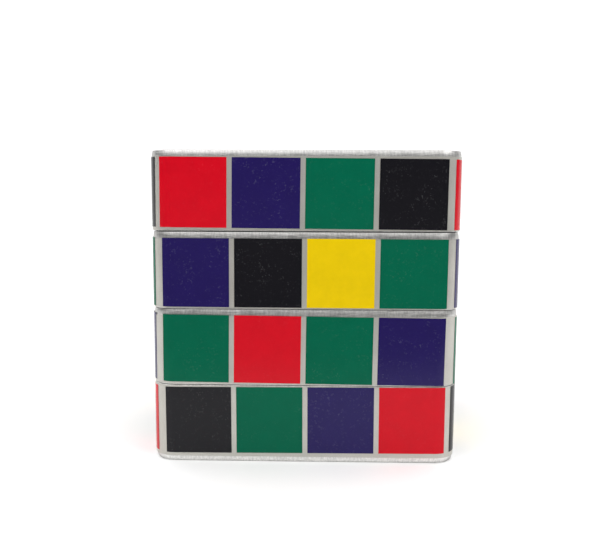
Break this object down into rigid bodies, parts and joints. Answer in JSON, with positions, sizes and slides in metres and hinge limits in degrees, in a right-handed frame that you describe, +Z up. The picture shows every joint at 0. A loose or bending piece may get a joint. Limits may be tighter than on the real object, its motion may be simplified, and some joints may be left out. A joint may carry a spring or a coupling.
{
  "type": "puzzle-cube herb grinder",
  "caption": "Cube-shaped container styled as a colour puzzle cube: square layers twist, unscrew and lift apart to grind, sift and store herbs",
  "frame": {"origin": "centre of the underside of the base cup, where the cube stands on a table", "axes": "+Z up along the common axis of the four layers, -Y towards the front face, +X to the right seen from the front"},
  "size_m": [0.05, 0.05, 0.0507],
  "materials": {
    "body_metal": "polished, with fine turning and buffing marks",
    "silver_film": "satin silver film",
    "red_ink": "satin print",
    "blue_ink": "satin print",
    "green_ink": "satin print",
    "black_ink": "satin print",
    "yellow_ink": "satin print",
    "screen_wire": "woven stainless wire",
    "magnet_plating": "nickel plated",
    "nylon": "milky nylon"
  },
  "bodies": {
    "base": {"base_cup": "body_metal", "base_wrap": "silver_film", "base_red_squares": "red_ink", "base_blue_squares": "blue_ink", "base_green_squares": "green_ink", "base_black_squares": "black_ink", "base_yellow_squares": "yellow_ink"},
    "screen": {"screen_mesh": "screen_wire", "screen_ring": "screen_wire"},
    "sifter": {"sifter_body": "body_metal", "sifter_wrap": "silver_film", "sifter_red_squares": "red_ink", "sifter_blue_squares": "blue_ink", "sifter_green_squares": "green_ink", "sifter_black_squares": "black_ink", "sifter_yellow_squares": "yellow_ink"},
    "chamber_core": {"chamber_magnet": "magnet_plating"},
    "chamber": {"chamber_body": "body_metal", "chamber_wrap": "silver_film", "chamber_red_squares": "red_ink", "chamber_blue_squares": "blue_ink", "chamber_green_squares": "green_ink", "chamber_black_squares": "black_ink", "chamber_yellow_squares": "yellow_ink"},
    "lid_bearing": {"lid_slip_ring": "nylon"},
    "lid": {"lid_shell": "body_metal", "lid_magnet": "magnet_plating", "lid_wrap": "silver_film", "lid_top_film": "silver_film", "lid_red_squares": "red_ink", "lid_blue_squares": "blue_ink", "lid_green_squares": "green_ink", "lid_black_squares": "black_ink", "lid_yellow_squares": "yellow_ink"}
  },
  "joints": [
    {"name": "sifter_rise", "type": "slide", "parent": "base", "child": "screen", "axis": [0, 0, 1], "range_m": [0, 0.0229]},
    {"name": "sifter_turn", "type": "hinge", "parent": "screen", "child": "sifter", "pos_m": [0, 0, 0.01285], "axis": [0, 0, 1], "range_deg": [0, 2745]},
    {"name": "chamber_rise", "type": "slide", "parent": "sifter", "child": "chamber_core", "axis": [0, 0, 1], "range_m": [0, 0.0229]},
    {"name": "chamber_turn", "type": "hinge", "parent": "chamber_core", "child": "chamber", "pos_m": [0, 0, 0.0253], "axis": [0, 0, 1], "range_deg": [0, 2745]},
    {"name": "lid_lift", "type": "slide", "parent": "chamber", "child": "lid_bearing", "axis": [0, 0, 1], "range_m": [0, 0.03]},
    {"name": "lid_turn", "type": "hinge", "parent": "lid_bearing", "child": "lid", "pos_m": [0, 0, 0.03775], "axis": [0, 0, 1], "continuous": true}
  ],
  "couplings": [
    {"joint": "sifter_rise", "follows": "sifter_turn", "m_per_rad": 0.00047746},
    {"joint": "chamber_rise", "follows": "chamber_turn", "m_per_rad": 0.00047746}
  ]
}
